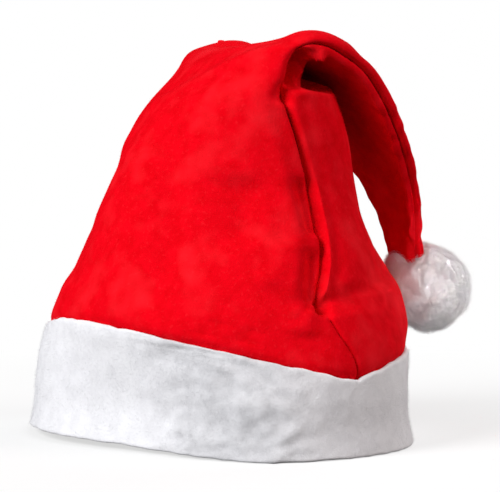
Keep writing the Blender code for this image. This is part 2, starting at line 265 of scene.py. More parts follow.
# Lights: degrees round from the camera, level distance and height in metres, size of the disc, what it aims
# at, and the degrees that it opens
Light = namedtuple("Light", "name setting turn distance height size aim colour spread")
LIGHTS = [
    Light("key light", "key_light", -51, 1.6, 1.0, 1.1, "hat", (0.98, 0.985, 1.0), 180),
    Light("fill light", "fill_light", 71, 1.6, 1.1, 1.2, "hat", (1.0, 0.925, 0.905), 180),
    Light("pompom light", "pompom_light", 32, 0.75, 0.02, 0.1, "pompom", (1.0, 1.0, 1.0), 5),
    Light("back light", "back_light", 150, 1.6, 0.8, 1.2, "hat", (1.0, 1.0, 1.0), 180),
]
FLOOR_REACH = 6.0
FLOOR_WHITENS_FROM = 0.10
FLOOR_WHITE_AT = 0.45
FLOOR_GLOW_UNDER_HAT = 0.65
FLOOR_WHITE = (0.93, 0.93, 0.93, 1)
FLOOR_DULL = (0.12, 0.12, 0.12, 1)
WHITE = (1, 1, 1, 1)


def along_table(column, along):
    """A column of SECTIONS read at the distances along, on a smooth curve through its rows."""
    x = np.array([row.along for row in SECTIONS], float)
    y = np.array([getattr(row, column) for row in SECTIONS], float)
    slope = np.gradient(y, x)
    i = np.clip(np.searchsorted(x, along) - 1, 0, len(x) - 2)
    h = x[i + 1] - x[i]
    t = (along - x[i]) / h
    return (
        y[i] * (1 + 2 * t) * (1 - t) ** 2
        + slope[i] * h * t * (1 - t) ** 2
        + y[i + 1] * t**2 * (3 - 2 * t)
        + slope[i + 1] * h * t**2 * (t - 1)
    )


def crowded(count, crowding):
    """Shares from 0 to 1, closer together towards both ends."""
    t = np.linspace(0, 1, count + 1)
    return t - crowding * np.sin(2 * math.pi * t) / (2 * math.pi)


def panel_turns():
    """Angles from one seam to the other."""
    return math.pi * crowded(PANEL_COLUMNS, SEAM_CROWDING)


def full_turns():
    """Angles all the way round, from the near seam by way of the back to the near seam again."""
    half = panel_turns()
    return np.concatenate([half, math.pi + half[1:]])


def base_surface(along, turn, inset=0.0):
    """Points of the plain tube, inset by a wall's thickness, with distances in rows and angles in columns."""
    read = {name: along_table(name, along)[:, None] for name in Section._fields[1:]}
    seam = np.stack([read["seam_y"], read["seam_z"]], -1)
    front = np.stack([read["front_y"], read["front_z"]], -1) - seam
    back = np.stack([read["back_y"], read["back_z"]], -1) - seam
    front_depth = np.linalg.norm(front, axis=-1, keepdims=True)
    back_depth = np.linalg.norm(back, axis=-1, keepdims=True)
    flatness = 1 - np.clip((front_depth + back_depth)[..., 0] / 2 / read["half_width"], 0, 1)
    half_width = read["half_width"] - (inset + SEAM_MARGIN * flatness * (inset > 0))
    front = front * (1 - inset / front_depth)
    back = back * (1 - inset / back_depth)
    c, s = np.cos(turn)[None, :], np.sin(turn)[None, :]
    on_back = s >= 0
    square = np.where(on_back, read["back_square"], read["front_square"])
    across = np.sign(c) * np.abs(c) ** (2 / square) * half_width
    out = np.abs(s) ** (2 / square)
    reach = np.where(on_back[..., None], back, front) * out[..., None]
    x, y = across, reach[..., 0]
    angle = np.radians(read["twist"])
    return np.stack(
        [
            x * np.cos(angle) - y * np.sin(angle),
            read["seam_y"] + x * np.sin(angle) + y * np.cos(angle),
            seam[..., 1] + reach[..., 1],
        ],
        -1,
    )


def girths(points):
    """Distance round each section from the near seam, where the first column stands."""
    steps = np.linalg.norm(np.diff(points, axis=1), axis=-1)
    return np.concatenate([np.zeros((len(points), 1)), np.cumsum(steps, axis=1)], axis=1)


def from_seams(girth):
    """Distances from the near and the far seam: positive on the back panel, negative on the front panel."""
    whole = girth[:, -1:]
    return np.where(girth > whole / 2, girth - whole, girth), whole / 2 - girth


def outward_normals(points):
    """Unit normals of a tube of points whose last column repeats the first."""
    ring = points[:, :-1]
    round_step = np.roll(ring, -1, axis=1) - np.roll(ring, 1, axis=1)
    along_step = np.gradient(ring, axis=0)
    normal = np.cross(round_step, along_step)
    normal /= np.linalg.norm(normal, axis=-1, keepdims=True)
    return np.concatenate([normal, normal[:, :1]], axis=1)


def window(along, start, end, ease):
    """1 between start and end, easing to 0 over the distance ease on both sides."""
    rise = np.clip((along - start + ease) / ease, 0, 1)
    fall = np.clip((end + ease - along) / ease, 0, 1)
    return (rise * rise * (3 - 2 * rise)) * (fall * fall * (3 - 2 * fall))


def fold_heights(folds, along, girth):
    """How far a table of folds moves the felt outwards."""
    near, far = from_seams(girth)
    height = np.zeros_like(girth)
    for fold in folds:
        share = np.clip((along - fold.along_from) / max(fold.along_to - fold.along_from, 1e-6), 0, 1)
        centre = fold.girth_from + (fold.girth_to - fold.girth_from) * share
        place = near if fold.side == "near" else far
        profile = np.exp(-(((place - centre[:, None]) / fold.width) ** 2))
        height += fold.height * profile * window(along, fold.along_from, fold.along_to, fold.ends)[:, None]
    return height


def cloud(points, size, seed):
    """Smooth noise from -1 to 1 at each point of a grid, with lumps of about the given size."""
    offset = Vector((seed * 3.7, seed * 1.3, seed * 7.1))
    flat = [noise.noise(Vector(p) + offset) for p in (points / size).reshape(-1, 3)]
    return np.array(flat).reshape(points.shape[:2])


def join_height(felt, turn):
    """Height of the line where the band meets the crown: lowest at the seams, in millimetres."""
    s = np.sin(turn)
    back = felt.band_rise_back * np.clip(s, 0, 1) ** BACK_RISE_POWER
    front = felt.band_rise_front * np.clip(-s, 0, 1) ** FRONT_RISE_POWER
    return (felt.band_height_at_seam + back + front) / MM


def rim_height(felt, turn):
    """Height of the rim over the surface it stands on: the middle of the front panel arches up a little."""
    return felt.rim_arch / MM * np.clip(-np.sin(turn + math.radians(RIM_ARCH_TURN)), 0, 1) ** 2


def crown_detail(felt, along, turn, girth, points):
    """Creases, seam grooves, the dip and puckers at the band, the tail's ripples and the felt's waves."""
    near, far = from_seams(girth)
    above = along[:, None] - join_height(felt, turn)[None, :]
    height = fold_heights(WRINKLES, along, girth)
    height -= JOIN_DIP * np.exp(-((above / JOIN_DIP_WIDTH) ** 2)) + JOIN_DIP * (above < 0)
    squash = np.array([1, 1, JOIN_PUCKER_SQUASH])
    puckers = np.clip(cloud(points * squash, JOIN_PUCKER_SIZE, 5), 0, 1)
    height -= JOIN_PUCKER * puckers * np.exp(-np.clip(above, 0, None) / JOIN_PUCKER_HEIGHT)
    groove = SEAM_GROOVE * (1 + window(along, TAIL_GROOVE_FROM, HAT_LENGTH, TAIL_GROOVE_EASE)[:, None])
    for place in (near, far):
        height -= groove * np.exp(-((place / SEAM_GROOVE_WIDTH) ** 2))
    ripples = cloud(points, TAIL_RIPPLE_SIZE, 2) * TAIL_RIPPLE
    edge = np.exp(-((np.minimum(abs(near), abs(far)) / TAIL_RIPPLE_WIDTH) ** 2))
    height += ripples * edge * window(along, TAIL_RIPPLE_FROM, HAT_LENGTH, TAIL_RIPPLE_EASE)[:, None]
    waves = cloud(points, CROWN_WAVE_SIZE, 1) + CROWN_SMALL_WAVE * cloud(points, CROWN_SMALL_WAVE_SIZE, 3)
    return height + felt.crown_waves / MM * waves


# The same share raises the band's tufts and masks the painted shade of its pile
def tufted(girth):
    """How much the band's pile is brushed up: most in one stretch in front of the near seam."""
    near, _ = from_seams(girth)
    return np.exp(-(((near - TUFTED_AT) / TUFTED_WIDTH) ** 4))


def band_detail(felt, along, turn, girth, points):
    """The band stands a little proud of the crown, with slanting brushed tufts, mostly near one seam."""
    slant = np.array(TUFT_SLANT) / np.linalg.norm(TUFT_SLANT)
    slanting = points - TUFT_STRETCH * (points @ slant)[..., None] * slant
    tufts = cloud(slanting, TUFT_SIZE, 4)
    tufts += SMALL_TUFTS * cloud(slanting, TUFT_SIZE / SMALL_TUFT_SHRINK, 6)
    share = TUFTS_ELSEWHERE + tufted(girth)
    return BAND_PROUD + BAND_WAVE * cloud(points, BAND_WAVE_SIZE, 8) + felt.band_lumps / MM * tufts * share


def band_edges(felt, turn, outside):
    """The band's lower and upper edge, cut a little unevenly."""
    ring = outside[:1] / BAND_EDGE_WAVE_SIZE
    low = rim_height(felt, turn) + BAND_EDGE_WAVE * abs(cloud(ring, 1, 12)[0])
    return low, join_height(felt, turn) + BAND_EDGE_WAVE * cloud(ring, 0.6, 14)[0]


def felt_surfaces(felt, turn, wall, detail):
    """Outside and inside of the whole tube, with a row for each MASTER_STEP of distance, in millimetres."""
    along = np.arange(0, HAT_LENGTH + MASTER_STEP / 2, MASTER_STEP)
    outside = base_surface(along, turn)
    inside = base_surface(along, turn, wall)
    girth = girths(outside)
    height = fold_heights(FOLDS, along, girth) + detail(felt, along, turn, girth, outside)
    push = outward_normals(outside) * height[..., None]
    push[..., 2] *= np.clip(along / LEVEL_FOLDS_BELOW, 0, 1)[:, None]
    return along, outside + push, inside + push


def at_distances(along, surface, wanted):
    """Points of a surface at the wanted distance in each row and column."""
    step = np.clip(np.searchsorted(along, wanted) - 1, 0, len(along) - 2)
    share = ((wanted - along[step]) / MASTER_STEP)[..., None]
    column = np.broadcast_to(np.arange(wanted.shape[1]), wanted.shape)
    return surface[step, column] * (1 - share) + surface[step + 1, column] * share


def rounded_edges(outside, inside, to_edge, radius):
    """Both skins drawn together towards a cut edge, so that it is round."""
    share = 1 - np.clip(to_edge / radius, 0, 1)
    keep = (EDGE_ROUND_LEFT + (1 - EDGE_ROUND_LEFT) * np.sqrt(1 - share**2))[..., None]
    middle = (outside + inside) / 2
    return middle + (outside - middle) * keep, middle + (inside - middle) * keep


def place_of_hat(felt):
    """How far the tables' origin lies from the frame's, in millimetres, found from the band's box."""
    turn = full_turns()
    along, outside, _ = felt_surfaces(felt, turn, felt.band_felt / MM, lambda *_: 0.0)
    low = rim_height(felt, turn)
    wanted = low + crowded(BAND_ROWS, 0)[:, None] * (join_height(felt, turn) - low)
    band = at_distances(along, outside, wanted).reshape(-1, 3)
    mine = (band.min(axis=0) + band.max(axis=0)) / 2
    box = np.array([list(corner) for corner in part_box("brim_band")]) / MM
    shift = box.mean(axis=0) - mine
    shift[2] = 0
    return shift


def grid_faces(rows, columns, start, closed_ring, flip):
    """Corner numbers of a grid's quads, as an array with a row for each quad."""
    last = columns if closed_ring else columns - 1
    i, j = np.meshgrid(np.arange(rows - 1), np.arange(last), indexing="ij")
    k = (j + 1) % columns
    quads = np.stack([i * columns + j, i * columns + k, (i + 1) * columns + k, (i + 1) * columns + j], -1)
    quads = quads.reshape(-1, 4) + start
    return quads[:, ::-1] if flip else quads


def new_mesh(name, points, edges, faces):
    """A mesh from points in millimetres and the corner numbers of its edges and faces."""
    mesh = bpy.data.meshes.new(name)
    mesh.from_pydata((points * MM).tolist(), edges, faces)
    mesh.update()
    return mesh


def wall_mesh(name, outside, inside, closed_ring, shift):
    """A felt wall between two grids of points, closed along every free edge."""
    rows, columns = outside.shape[:2]
    inner = rows * columns
    quads = [grid_faces(rows, columns, start, closed_ring, start == inner) for start in (0, inner)]
    last = columns if closed_ring else columns - 1
    j = np.arange(last)
    k = (j + 1) % columns
    top = (rows - 1) * columns
    quads.append(np.stack([k, j, j + inner, k + inner], -1))
    quads.append(np.stack([j + top, k + top, k + top + inner, j + top + inner], -1))
    if not closed_ring:
        i = np.arange(rows - 1) * columns
        n = i + columns
        end = columns - 1
        quads.append(np.stack([i, n, n + inner, i + inner], -1))
        quads.append(np.stack([n + end, i + end, i + end + inner, n + end + inner], -1))
    points = np.concatenate([outside.reshape(-1, 3), inside.reshape(-1, 3)]) + shift
    mesh = new_mesh(name, points, [], np.concatenate(quads).tolist())
    mesh.shade_smooth()
    return mesh


def skin_mesh(name, surface, shift):
    """One open skin of points, for what grows on it."""
    faces = grid_faces(*surface.shape[:2], 0, False, False).tolist()
    return new_mesh(name, (surface + shift).reshape(-1, 3), [], faces)


def path_mesh(name, points, shift):
    """A line of edges through points."""
    return new_mesh(name, points + shift, [(i, i + 1) for i in range(len(points) - 1)], [])


def add_object(name, mesh):
    made = bpy.data.objects.new(name, mesh)
    bpy.context.scene.collection.objects.link(made)
    return made


def finish_piece(piece, node=None, material=None):
    """Gives a finished piece its material and its body, and hides the frame's part that it stands for."""
    if material:
        piece.data.materials.clear()
        piece.data.materials.append(material)
    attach(piece, BODY)
    if node:
        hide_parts(node)


def add_node(tree, kind, inputs=None, **settings):
    """A node with its settings and inputs: a socket is linked, and anything else is a value."""
    made = tree.nodes.new(kind)
    for name, value in settings.items():
        setattr(made, name, value)
    for name, value in (inputs or {}).items():
        if isinstance(value, bpy.types.NodeSocket):
            tree.links.new(value, made.inputs[name])
        else:
            made.inputs[name].default_value = value
    return made


def noise_value(tree, place, scale, detail=3.0, rough=0.55):
    """Noise whose lumps are about one part in scale of a metre."""
    inputs = {"Vector": place, "Scale": scale, "Detail": detail, "Roughness": rough}
    return add_node(tree, "ShaderNodeTexNoise", inputs).outputs["Fac"]


def ranged(tree, value, low, high, to_low=0.0, to_high=1.0):
    inputs = {"Value": value, "From Min": low, "From Max": high, "To Min": to_low, "To Max": to_high}
    return add_node(tree, "ShaderNodeMapRange", inputs).outputs["Result"]


def mixed_colour(tree, factor, first, second):
    inputs = {0: factor, 6: first, 7: second}
    return add_node(tree, "ShaderNodeMix", inputs, data_type="RGBA").outputs[2]


def combined(tree, operation, first, second):
    return add_node(tree, "ShaderNodeMath", {0: first, 1: second}, operation=operation).outputs[0]


def new_material(name):
    material = bpy.data.materials.new(name)
    material.use_nodes = True
    tree = material.node_tree
    shader = tree.nodes["Principled BSDF"]
    place = add_node(tree, "ShaderNodeTexCoord").outputs["Object"]
    return material, tree, shader, place


def fibre_pattern(tree, place, scale):
    """Fine crossed fibres: noise drawn out along three directions, of which the strongest shows."""
    strongest = None
    for turn in FIBRE_TURNS:
        mapping = {"Vector": place, "Rotation": turn, "Scale": FIBRE_DRAWN_OUT}
        drawn = add_node(tree, "ShaderNodeMapping", mapping).outputs["Vector"]
        value = noise_value(tree, drawn, scale, 2.0)
        strongest = value if strongest is None else combined(tree, "MAXIMUM", strongest, value)
    return strongest


def set_matt(shader, sheen, sheen_rough, tint):
    """A matt surface with a soft sheen of fibres."""
    shader.inputs["Specular IOR Level"].default_value = CLOTH_SPECULAR
    shader.inputs["Sheen Weight"].default_value = sheen
    shader.inputs["Sheen Roughness"].default_value = sheen_rough
    shader.inputs["Sheen Tint"].default_value = tint


def felt_material(name, colours, sheen, lumps, fleck):
    """Pressed felt: clouds of colour, paler flecks, crossed fibres, and a matt bumpy surface.

    colours: the dark, the middle and the bright colour. lumps: size of the clouds as a noise scale.
    fleck: how strongly the bright colour shows in flecks.
    """
    dark, middle, bright = [(*colour, 1) for colour in colours]
    material, tree, shader, place = new_material(name)
    clouds = noise_value(tree, place, lumps, 4.0)
    patches = noise_value(tree, place, lumps * 0.3, 2.0)
    flecks = noise_value(tree, place, FLECK_SCALE, 3.0, 0.65)
    fibres = fibre_pattern(tree, place, FELT_FIBRE_SCALE)
    base = mixed_colour(tree, ranged(tree, clouds, 0.33, 0.62), dark, middle)
    base = mixed_colour(tree, ranged(tree, patches, 0.5, 0.75, 0.0, 0.6), base, bright)
    base = mixed_colour(tree, ranged(tree, flecks, 0.56, 0.76, 0.0, fleck), base, bright)
    # Painted shade: the mesh's 'brushed' mask mixes in a darker colour for the shade of the brushed-up pile
    brushed = add_node(tree, "ShaderNodeAttribute", attribute_name="brushed").outputs["Fac"]
    shade_share = ranged(tree, clouds, 0.35, 0.55, PAINTED_PILE_SHADE_MOST, PAINTED_PILE_SHADE_LEAST)
    shade = (*(PAINTED_PILE_SHADE_DARKNESS * part for part in dark[:3]), 1)
    base = mixed_colour(tree, combined(tree, "MULTIPLY", brushed, shade_share), base, shade)
    tree.links.new(base, shader.inputs["Base Color"])
    rough = ranged(tree, fibres, 0.4, 0.7, 1.0, 0.86)
    tree.links.new(rough, shader.inputs["Roughness"])
    set_matt(shader, sheen, 0.6, bright)
    soft = add_node(tree, "ShaderNodeBump", {"Height": flecks, "Strength": 0.35, "Distance": 0.0006})
    fine = {"Height": fibres, "Strength": 0.5, "Distance": 0.00025, "Normal": soft.outputs["Normal"]}
    normal = add_node(tree, "ShaderNodeBump", fine).outputs["Normal"]
    tree.links.new(normal, shader.inputs["Normal"])
    return material


def strand_material(name, colours, sheen, lumps):
    """Fine strands or thread: colour that drifts from strand to strand, and a soft sheen."""
    dark, bright = [(*colour, 1) for colour in colours]
    material, tree, shader, place = new_material(name)
    drift = noise_value(tree, place, lumps, 4.0, 0.7)
    base = mixed_colour(tree, ranged(tree, drift, 0.35, 0.65), dark, bright)
    tree.links.new(base, shader.inputs["Base Color"])
    ply = fibre_pattern(tree, place, THREAD_FIBRE_SCALE)
    tree.links.new(ranged(tree, ply, 0.4, 0.7, 0.95, 0.75), shader.inputs["Roughness"])
    set_matt(shader, sheen, 0.5, bright)
    bump = {"Height": ply, "Strength": 0.4, "Distance": 0.0002}
    tree.links.new(add_node(tree, "ShaderNodeBump", bump).outputs["Normal"], shader.inputs["Normal"])
    return material


def vector(tree, operation, inputs):
    return add_node(tree, "ShaderNodeVectorMath", inputs, operation=operation).outputs[0]


def nodes_group(name, sockets):
    """A Geometry Nodes tree with named inputs, and the identifier of each."""
    tree = bpy.data.node_groups.new(name, "GeometryNodeTree")
    tree.interface.new_socket("Geometry", in_out="INPUT", socket_type="NodeSocketGeometry")
    found = {}
    for label, kind in sockets:
        socket = tree.interface.new_socket(label, in_out="INPUT", socket_type="NodeSocket" + kind)
        found[label] = socket.identifier
    tree.interface.new_socket("Geometry", in_out="OUTPUT", socket_type="NodeSocketGeometry")
    return tree, found, tree.nodes.new("NodeGroupInput").outputs


def end_tree(tree, start, planted, wave=None):
    """Makes what was planted real, waves it, smooths it, gives it its material and ends the tree."""
    made = add_node(tree, "GeometryNodeRealizeInstances", {"Geometry": planted}).outputs["Geometry"]
    if wave is not None:
        waved = {"Geometry": made, "Offset": wave}
        made = add_node(tree, "GeometryNodeSetPosition", waved).outputs["Geometry"]
    made = add_node(tree, "GeometryNodeSetShadeSmooth", {"Geometry": made}).outputs["Geometry"]
    painted = {"Geometry": made, "Material": start["Material"]}
    painted = add_node(tree, "GeometryNodeSetMaterial", painted).outputs["Geometry"]
    tree.links.new(painted, tree.nodes.new("NodeGroupOutput").inputs["Geometry"])


def pile_tree():
    """Short strands that stand all over a surface, leaning together in drifts and waved by smooth noise."""
    sizes = ("Density", "Length", "Thickness", "Lean", "Drift Size", "Wave")
    sockets = [(label, "Float") for label in sizes]
    sockets += [("Seed", "Int"), ("Material", "Material")]
    tree, found, start = nodes_group("felt pile", sockets)
    scatter = {"Mesh": start["Geometry"], "Density": start["Density"], "Seed": start["Seed"]}
    points = add_node(tree, "GeometryNodeDistributePointsOnFaces", scatter)
    half = (0.5, 0.5, 0.5)
    drift_scale = combined(tree, "DIVIDE", 1.0, start["Drift Size"])
    drift = add_node(tree, "ShaderNodeTexNoise", {"Scale": drift_scale, "Detail": 3.0}).outputs["Color"]
    lean = vector(tree, "SCALE", {0: vector(tree, "SUBTRACT", {0: drift, 1: half}), "Scale": start["Lean"]})
    own = {0: (-0.35, -0.35, -0.35), 1: (0.35, 0.35, 0.35), "Seed": start["Seed"]}
    own = add_node(tree, "FunctionNodeRandomValue", own, data_type="FLOAT_VECTOR").outputs[0]
    heading = vector(tree, "ADD", {0: points.outputs["Normal"], 1: lean})
    turned = {"Vector": vector(tree, "ADD", {0: heading, 1: own})}
    turned = add_node(tree, "FunctionNodeAlignRotationToVector", turned, axis="Z").outputs["Rotation"]
    cone = {
        "Vertices": 3,
        "Side Segments": 1,
        "Radius Top": combined(tree, "MULTIPLY", start["Thickness"], 0.35),
        "Radius Bottom": start["Thickness"],
        "Depth": start["Length"],
    }
    strand = add_node(tree, "GeometryNodeMeshCone", cone, fill_type="NGON").outputs["Mesh"]
    size = {2: 0.55, 3: 1.0, "Seed": start["Seed"]}
    size = add_node(tree, "FunctionNodeRandomValue", size).outputs[1]
    planted = {"Points": points.outputs["Points"], "Instance": strand, "Rotation": turned, "Scale": size}
    planted = add_node(tree, "GeometryNodeInstanceOnPoints", planted).outputs["Instances"]
    wave_scale = combined(tree, "DIVIDE", 0.8, start["Length"])
    wave = add_node(tree, "ShaderNodeTexNoise", {"Scale": wave_scale, "Detail": 1.0}).outputs["Color"]
    wave = vector(tree, "SCALE", {0: vector(tree, "SUBTRACT", {0: wave, 1: half}), "Scale": start["Wave"]})
    end_tree(tree, start, planted, wave)
    return tree, found


def stitch_tree():
    """Thread stitches laid end to end along a line, with a small gap between them."""
    sockets = [(label, "Float") for label in ("Pitch", "Stitch Length", "Thread")]
    sockets += [("Material", "Material")]
    tree, found, start = nodes_group("stitch row", sockets)
    line = add_node(tree, "GeometryNodeMeshToCurve", {"Mesh": start["Geometry"]}).outputs["Curve"]
    spaced = {"Curve": line, "Length": start["Pitch"]}
    spaced = add_node(tree, "GeometryNodeResampleCurve", spaced, mode="LENGTH").outputs["Curve"]
    turned = {"Vector": tree.nodes.new("GeometryNodeInputTangent").outputs["Tangent"]}
    turned = add_node(tree, "FunctionNodeAlignRotationToVector", turned, axis="Z").outputs["Rotation"]
    ball = {"Segments": 6, "Rings": 5, "Radius": 1.0}
    ball = add_node(tree, "GeometryNodeMeshUVSphere", ball).outputs["Mesh"]
    half = combined(tree, "MULTIPLY", start["Stitch Length"], 0.5)
    scale = {0: start["Thread"], 1: start["Thread"], 2: half}
    scale = add_node(tree, "ShaderNodeCombineXYZ", scale).outputs[0]
    sewn = {"Points": spaced, "Instance": ball, "Rotation": turned, "Scale": scale}
    end_tree(tree, start, add_node(tree, "GeometryNodeInstanceOnPoints", sewn).outputs["Instances"])
    return tree, found


def grown(name, base_mesh, tree, found, values):
    """A plain mesh object made by a Geometry Nodes tree on a base mesh, which is then removed."""
    base = add_object(name + " base", base_mesh)
    modifier = base.modifiers.new("pattern", "NODES")
    modifier.node_group = tree
    for label, value in values.items():
        modifier[found[label]] = value
    graph = bpy.context.evaluated_depsgraph_get()
    graph.update()
    mesh = bpy.data.meshes.new_from_object(base.evaluated_get(graph))
    bpy.data.objects.remove(base, do_unlink=True)
    if not mesh.polygons:
        raise RuntimeError(name + " came out empty")
    mesh.name = name
    return add_object(name, mesh)


def grow_pile(name, skin, pile, count, length, seed, material):
    """Strands of one kind all over a skin, as a finished piece."""
    values = {
        "Density": count / sum(face.area for face in skin.polygons),
        "Length": length,
        "Thickness": pile.thickness,
        "Lean": pile.lean,
        "Drift Size": pile.drift,
        "Wave": pile.wave,
        "Seed": seed,
        "Material": material,
    }
    finish_piece(grown(name, skin, *pile_tree(), values))


def length_setting(name, description, default):
    return FloatProperty(name=name, description=description, default=default, unit="LENGTH")


def power_setting(name, description, default):
    return FloatProperty(name=name, description=description, default=default, unit="POWER")


def colour_setting(name, description, default):
    return FloatVectorProperty(name=name, description=description, default=default, subtype="COLOR")


def count_setting(name, description, default):
    return IntProperty(name=name, description=description, default=default)


class SantaHatFelt(bpy.types.PropertyGroup):
    """Sizes of the felt pieces."""

    crown_felt: length_setting("Crown felt", "Thickness of the red felt", 0.0018)
    band_felt: length_setting("Band felt", "Thickness of the white felt", 0.0022)
    band_height_at_seam: length_setting("Band at the seams", "Height of the band at the side seams", 0.0345)
    band_rise_front: length_setting("Band rise in front", "How much higher the band is in front", 0.024)
    band_rise_back: length_setting("Band rise at the back", "How much higher the band is behind", 0.012)
    rim_arch: length_setting("Rim arch", "How far the front of the rim lifts", 0.0035)
    crown_waves: length_setting("Crown waves", "Height of the red felt's soft waves", 0.0007)
    band_lumps: length_setting("Band tufts", "Height of the brushed tufts of the band", 0.0022)


class SantaHatColours(bpy.types.PropertyGroup):
    """Colours of the felts, the thread and the yarn."""

    red_dark: colour_setting("Red, dark", "Darker clouds of the red felt", (0.70, 0.0006, 0.005))
    red: colour_setting("Red", "Main colour of the red felt", (0.80, 0.0012, 0.008))
    red_bright: colour_setting("Red, bright", "Flecks of the red felt", (0.92, 0.016, 0.026))
    white_dark: colour_setting("White, dark", "Darker clouds of the band", (0.79, 0.785, 0.81))
    white: colour_setting("White", "Main colour of the band", (0.87, 0.865, 0.89))
    white_bright: colour_setting("White, bright", "Flecks of the band", (0.93, 0.93, 0.945))
    yarn_dark: colour_setting("Yarn, dark", "Darker strands of the pompom", (0.92, 0.91, 0.93))
    yarn: colour_setting("Yarn", "Paler strands of the pompom", (0.98, 0.98, 0.99))


class SantaHatDetail(bpy.types.PropertyGroup):
    """Pile, stitches and pompom."""

    crown_strands: count_setting("Crown strands", "Loose fibres on each red panel", 5000)
    crown_pile: length_setting("Crown pile", "Length of the red felt's loose fibres", 0.0010)
    band_strands: count_setting("Band strands", "Fibres on the brushed band", 21000)
    band_pile: length_setting("Band pile", "Length of the band's fibres", 0.0013)
    stitch_pitch: length_setting("Stitch pitch", "Distance from stitch to stitch", 0.0032)
    stitch_length: length_setting("Stitch length", "Length of one stitch", 0.0026)
    thread: length_setting("Thread", "Half the thickness of the thread", 0.00022)
    pompom_radius: length_setting("Pompom radius", "Radius of the pompom's firm middle", 0.0201)
    pompom_tufts: length_setting("Tuft height", "Height of the pompom's tufts", 0.0022)
    pompom_strands: count_setting("Pompom strands", "Strands in each layer of the pompom", 22000)
    pompom_pile: length_setting("Pompom pile", "Length of the pompom's strands", 0.0024)


class SantaHatStage(bpy.types.PropertyGroup):
    """Floor, light and camera."""

    view_azimuth: FloatProperty(
        name="View azimuth",
        description="Where the camera stands round the hat",
        default=math.radians(66),
        unit="ROTATION",
    )
    view_distance: length_setting("View distance", "Level distance from the camera to the rim", 1.2)
    view_height: length_setting("View height", "Height of the camera over the floor", 0.150)
    aim_right: length_setting("Aim to the right", "How far right of the rim's middle it aims", 0.0146)
    aim_height: length_setting("Aim height", "Height that the camera aims at", 0.0910)
    lens: FloatProperty(name="Lens", description="Focal length in millimetres", default=180.0)
    key_light: power_setting("Key light", "Power of the large soft light", 43.5)
    fill_light: power_setting("Fill light", "Power of the weaker light on the other side", 20.5)
    pompom_light: power_setting("Pompom light", "Power of the narrow light on the pompom", 0.0140)
    back_light: power_setting("Back light", "Power of the light behind", 12.0)
    sky_light: FloatProperty(
        name="Sky light", description="Strength of the light from all around", default=0.04
    )


class SantaHatSettings(bpy.types.PropertyGroup):
    """All settings of the hat."""

    felt: PointerProperty(type=SantaHatFelt, name="Felt", description="Sizes of the felt pieces")
    colours: PointerProperty(type=SantaHatColours, name="Colours", description="Colours of the materials")
    detail: PointerProperty(type=SantaHatDetail, name="Detail", description="Pile, stitches and pompom")
    stage: PointerProperty(type=SantaHatStage, name="Stage", description="Floor, light and camera")


def red_felt(colours):
    shades = (colours.red_dark, colours.red, colours.red_bright)
    return bpy.data.materials.get("red felt") or felt_material("red felt", shades, 0.06, 170.0, 0.45)


def white_felt(colours):
    shades = (colours.white_dark, colours.white, colours.white_bright)
    return felt_material("white brushed felt", shades, 0.2, 140.0, 0.5)


def panel_grids(felt, side):
    """Outside and inside points of one crown panel, in millimetres, with round edges."""
    turn = full_turns()
    wall = felt.crown_felt / MM
    along, outside, inside = felt_surfaces(felt, turn, wall, crown_detail)
    columns = slice(0, PANEL_COLUMNS + 1) if side == "back" else slice(PANEL_COLUMNS, None)
    turn = turn[columns]
    start = join_height(felt, turn) - CROWN_TUCKED_BEHIND_BAND
    wanted = start + (HAT_LENGTH - start) * crowded(CROWN_ROWS, ROW_CROWDING)[:, None]
    outside, inside = [at_distances(along, surface[:, columns], wanted) for surface in (outside, inside)]
    girth = girths(outside)
    to_edge = np.minimum(girth, girth[:, -1:] - girth)
    outside, inside = rounded_edges(outside, inside, to_edge, wall * CROWN_EDGE_ROUND)
    for grid in (outside, inside):
        for edge, neighbour in ((0, 1), (-1, -2)):
            step = grid[:, neighbour] - grid[:, edge]
            grid[:, edge] += step / np.linalg.norm(step, axis=-1, keepdims=True) * PANEL_EDGE_GAP
    return outside, inside


class SANTAHAT_OT_crown(bpy.types.Operator):
    """Two panels of red felt, sewn at the side seams and folded over"""

    bl_idname = "santahat.crown"
    bl_label = "Felt crown"

    def execute(self, context):
        settings = context.scene.santa_hat
        shift = place_of_hat(settings.felt)
        for side in ("front", "back"):
            outside, inside = panel_grids(settings.felt, side)
            name = f"crown_{side}_felt"
            panel = add_object(name, wall_mesh(name, outside, inside, False, shift))
            finish_piece(panel, f"crown_{side}_panel", red_felt(settings.colours))
        return {"FINISHED"}


class SANTAHAT_OT_band(bpy.types.Operator):
    """Deep band of white brushed felt round the rim"""

    bl_idname = "santahat.band"
    bl_label = "Brushed band"

    def execute(self, context):
        settings = context.scene.santa_hat
        felt = settings.felt
        turn = full_turns()
        wall = felt.band_felt / MM
        along, outside, inside = felt_surfaces(felt, turn, wall, band_detail)
        low, high = band_edges(felt, turn, outside)
        wanted = low + (high - low) * crowded(BAND_ROWS, BAND_CROWDING)[:, None]
        outside, inside = [at_distances(along, surface, wanted)[:, :-1] for surface in (outside, inside)]
        to_edge = np.minimum(wanted - low, high - wanted)[:, :-1]
        outside, inside = rounded_edges(outside, inside, to_edge, wall * BAND_EDGE_ROUND)
        shift = place_of_hat(felt)
        mesh = wall_mesh("band_felt", outside, inside, True, shift)
        girth = girths(np.concatenate([outside, outside[:, :1]], axis=1))
        # Mask of the brushed-up stretch, which tells the white felt where to mix in painted shade
        brushed = mesh.attributes.new("brushed", "FLOAT", "POINT")
        share = tufted(girth)[:, :-1].ravel()
        brushed.data.foreach_set("value", np.tile(share, 2).astype(np.float32))
        band = add_object("band_felt", mesh)
        finish_piece(band, "brim_band", white_felt(settings.colours))
        return {"FINISHED"}


